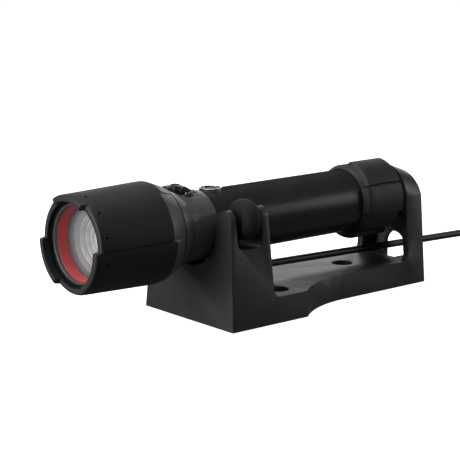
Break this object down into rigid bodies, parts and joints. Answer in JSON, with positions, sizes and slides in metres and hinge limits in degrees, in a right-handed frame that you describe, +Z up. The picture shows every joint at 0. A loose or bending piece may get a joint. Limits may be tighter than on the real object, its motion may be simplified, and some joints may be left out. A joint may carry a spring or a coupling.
{
  "type": "firefighter flashlight",
  "caption": "Rubber-armoured hand torch lying in its charging cradle, held between sprung ears with rollers and a rear arch, with a supply lead and plug.",
  "frame": {"origin": "middle of the cradle's flat underside", "axes": "+Z up, +X along the torch from its lamp head to its tail, so the beam shines towards -X"},
  "size_m": [0.3588, 0.0928, 0.075],
  "materials": {
    "cradle_moulding": "fine matt moulding",
    "cover_plastic": "matt",
    "screw_steel": "plated",
    "pin_steel": "ground",
    "black_plastic": "matt",
    "spring_steel": "bright",
    "circuit_board": "solder mask",
    "lead_rubber": "matt",
    "black_rubber": "matt",
    "tie_fabric": "woven hook tape",
    "plug_steel": "nickel plated",
    "roller_rubber": "matt",
    "gilt": "gilt",
    "tube_metal": "fine knurl, hard anodised",
    "neck_metal": "satin hard anodised",
    "bare_aluminium": "turned",
    "emitter_yellow": "glossy phosphor",
    "cell_wrap": "shrink film",
    "polished_metal": "polished",
    "button_rubber": "satin",
    "knob_plastic": "matt, ribbed",
    "bumper_rubber": "fine matt",
    "dark_metal": "satin anodised",
    "red_plastic": "translucent",
    "clear_glass": "clear",
    "lens_clear": "moulded clear lens",
    "grip_rubber": "matt"
  },
  "bodies": {
    "cradle": {"cradle_shell": "cradle_moulding", "bottom_cover": "cover_plastic", "cover_screws": "screw_steel", "roller_pin_left": "pin_steel", "roller_pin_right": "pin_steel", "contact_holder": "black_plastic", "contact_springs": "spring_steel", "charge_board": "circuit_board", "lead_gland": "lead_rubber", "tail_cushion": "black_rubber", "cord_lead": "lead_rubber", "cord_coil": "lead_rubber", "cord_tie": "tie_fabric", "plug_grip": "lead_rubber", "plug_shell": "plug_steel", "plug_tongue": "black_plastic"},
    "roller_left": {"roller_bush_left": "black_plastic", "roller_tyre_left": "roller_rubber"},
    "roller_right": {"roller_bush_right": "black_plastic", "roller_tyre_right": "roller_rubber"},
    "contact_pins": {"contact_pins": "gilt"},
    "torch": {"battery_tube": "tube_metal", "neck_housing": "neck_metal", "heat_sink": "bare_aluminium", "led_board": "circuit_board", "led_emitter": "emitter_yellow", "driver_board": "circuit_board", "battery_pack": "cell_wrap", "front_contact": "gilt", "contact_disc": "circuit_board", "switch_board": "circuit_board", "pad_insulator": "black_plastic", "charge_pads": "gilt", "button_ring": "polished_metal", "button_guards": "polished_metal", "head_oring": "black_rubber", "tail_oring": "black_rubber"},
    "power_button": {"power_button": "button_rubber"},
    "mode_button": {"mode_button": "button_rubber"},
    "lock_slider": {"lock_slider": "knob_plastic"},
    "head": {"head_bumper": "bumper_rubber", "head_barrel": "dark_metal", "retaining_ring": "dark_metal", "red_ring": "red_plastic", "front_glass": "clear_glass", "glass_seal": "black_rubber", "collimator": "lens_clear", "lens_holder": "black_plastic"},
    "tail": {"tail_cap": "dark_metal", "grip_ring": "grip_rubber", "tail_spring": "spring_steel", "tail_contact": "circuit_board"}
  },
  "joints": [
    {"name": "torch_tilt", "type": "hinge", "parent": "cradle", "child": "torch", "pos_m": [0.0723, 0, 0.057], "axis": [0, 1, 0], "range_deg": [0, 12]},
    {"name": "head_focus", "type": "slide", "parent": "torch", "child": "head", "axis": [-1, 0, 0], "range_m": [0, 0.006]},
    {"name": "power_press", "type": "slide", "parent": "torch", "child": "power_button", "axis": [0, 0, -1], "range_m": [0, 0.0008], "stiffness_N_per_m": 2500, "springref_m": -0.0002},
    {"name": "mode_press", "type": "slide", "parent": "torch", "child": "mode_button", "axis": [0, 0, -1], "range_m": [0, 0.001], "stiffness_N_per_m": 2000, "springref_m": -0.0002},
    {"name": "lock_slide", "type": "slide", "parent": "torch", "child": "lock_slider", "axis": [0, 1, 0], "range_m": [-0.002, 0.002]},
    {"name": "tail_turn", "type": "hinge", "parent": "torch", "child": "tail", "pos_m": [0.0433, 0, 0.049], "axis": [1, 0, 0], "range_deg": [0, 90]},
    {"name": "roller_left_spin", "type": "hinge", "parent": "cradle", "child": "roller_left", "pos_m": [-0.0625, -0.0277, 0.055], "axis": [1, 0, 0], "continuous": true},
    {"name": "roller_right_spin", "type": "hinge", "parent": "cradle", "child": "roller_right", "pos_m": [-0.0625, 0.0277, 0.055], "axis": [1, 0, 0], "continuous": true},
    {"name": "contact_plunge", "type": "slide", "parent": "cradle", "child": "contact_pins", "axis": [0, 0, -1], "range_m": [0, 0.0012], "stiffness_N_per_m": 400, "springref_m": -0.0004, "deforming": ["contact_springs"]}
  ]
}
